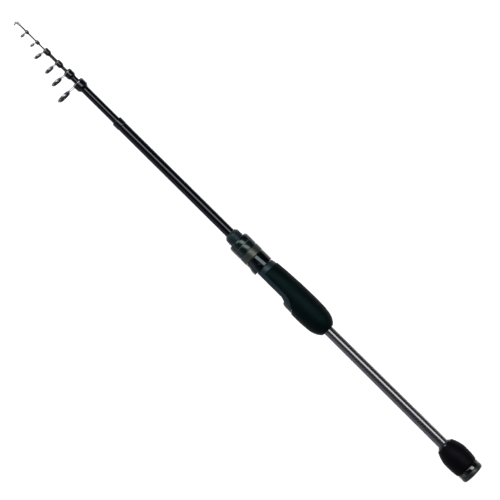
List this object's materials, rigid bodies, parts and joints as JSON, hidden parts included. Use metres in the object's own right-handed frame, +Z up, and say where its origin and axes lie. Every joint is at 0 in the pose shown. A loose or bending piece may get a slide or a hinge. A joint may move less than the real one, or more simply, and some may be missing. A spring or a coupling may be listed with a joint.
{
  "type": "spinning rod",
  "caption": "Telescopic spinning rod closed for travel, with foam grips, a screw-down reel seat, ringed line guides and a screw-on butt cap.",
  "frame": {"origin": "centre of the flat end face of the butt cap", "axes": "+X out of the butt along the rod's axis, the tip towards -X, the line guides towards -Y, +Z up with the rod lying on its side"},
  "size_m": [0.6448, 0.0428, 0.0296],
  "materials": {
    "black_lacquer": "gloss lacquer over carbon fibre",
    "black_gloss_plastic": "polished moulded plastic",
    "navy_wrap": "satin wrapped and varnished thread",
    "woven_carbon": "clear-coated woven carbon cloth",
    "eva_foam": "matte closed-cell foam",
    "soft_rubber": "matte",
    "seat_plastic": "satin moulded graphite nylon",
    "gunmetal": "brushed, dark anodised",
    "steel": "polished stainless",
    "ceramic": "polished dark ceramic",
    "resin": "cast resin foam"
  },
  "bodies": {
    "handle": {"butt_blank": "black_lacquer", "butt_ferrule_wrap": "navy_wrap", "seat_body": "seat_plastic", "rear_hood_lining": "soft_rubber", "seat_arbor": "resin", "seat_front_check": "seat_plastic", "front_grip": "eva_foam", "woven_sleeve": "woven_carbon", "rear_grip_check": "gunmetal", "rear_grip": "eva_foam", "cap_socket": "gunmetal"},
    "hood": {"sliding_hood": "black_gloss_plastic", "sliding_hood_lining": "soft_rubber"},
    "nut": {"lock_nut": "seat_plastic", "nut_trim_ring": "steel", "nut_grip_band": "gunmetal"},
    "bumper": {"cap_bumper": "soft_rubber"},
    "cap": {"butt_cap": "gunmetal", "cap_trim_ring": "black_gloss_plastic"},
    "first_section": {"section_1": "black_lacquer", "guide_1_sleeve": "navy_wrap", "guide_1_frame": "steel", "guide_1_ring": "ceramic"},
    "second_section": {"section_2": "black_lacquer", "guide_2_sleeve": "navy_wrap", "guide_2_frame": "steel", "guide_2_ring": "ceramic"},
    "third_section": {"section_3": "black_lacquer", "guide_4_sleeve": "navy_wrap", "guide_4_frame": "steel", "guide_4_ring": "ceramic"},
    "tip_section": {"section_4": "black_lacquer", "tip_top_frame": "steel", "tip_top_ring": "ceramic"},
    "float_guide_3": {"guide_3_sleeve": "navy_wrap", "guide_3_frame": "steel", "guide_3_ring": "ceramic"},
    "float_guide_5": {"guide_5_sleeve": "navy_wrap", "guide_5_frame": "steel", "guide_5_ring": "ceramic"},
    "float_guide_6": {"guide_6_sleeve": "navy_wrap", "guide_6_frame": "steel", "guide_6_ring": "ceramic"}
  },
  "joints": [
    {"name": "section_1_slide", "type": "slide", "parent": "handle", "child": "first_section", "axis": [-1, 0, 0], "range_m": [0, 0.373]},
    {"name": "section_2_slide", "type": "slide", "parent": "first_section", "child": "second_section", "axis": [-1, 0, 0], "range_m": [0, 0.4295]},
    {"name": "section_3_slide", "type": "slide", "parent": "second_section", "child": "third_section", "axis": [-1, 0, 0], "range_m": [0, 0.445]},
    {"name": "section_4_slide", "type": "slide", "parent": "third_section", "child": "tip_section", "axis": [-1, 0, 0], "range_m": [0, 0.476]},
    {"name": "guide_3_slide", "type": "slide", "parent": "second_section", "child": "float_guide_3", "axis": [-1, 0, 0], "range_m": [0, 0.223]},
    {"name": "guide_5_slide", "type": "slide", "parent": "third_section", "child": "float_guide_5", "axis": [-1, 0, 0], "range_m": [0, 0.159]},
    {"name": "guide_6_slide", "type": "slide", "parent": "third_section", "child": "float_guide_6", "axis": [-1, 0, 0], "range_m": [0, 0.3175]},
    {"name": "hood_slide", "type": "slide", "parent": "handle", "child": "hood", "axis": [-1, 0, 0], "range_m": [0, 0.009]},
    {"name": "nut_turn", "type": "hinge", "parent": "hood", "child": "nut", "pos_m": [-0.321, 0, 0], "axis": [-1, 0, 0], "range_deg": [0, 1620]},
    {"name": "cap_slide", "type": "slide", "parent": "handle", "child": "bumper", "axis": [1, 0, 0], "range_m": [0, 0.006]},
    {"name": "cap_turn", "type": "hinge", "parent": "bumper", "child": "cap", "pos_m": [-0.005, 0, 0], "axis": [1, 0, 0], "range_deg": [0, 1440]}
  ],
  "couplings": [
    {"joint": "guide_3_slide", "follows": "section_3_slide", "ratio": 0.5},
    {"joint": "guide_5_slide", "follows": "section_4_slide", "ratio": 0.3333},
    {"joint": "guide_6_slide", "follows": "section_4_slide", "ratio": 0.6667},
    {"joint": "hood_slide", "follows": "nut_turn", "m_per_rad": 0.0003183},
    {"joint": "cap_slide", "follows": "cap_turn", "m_per_rad": 0.0002387}
  ]
}
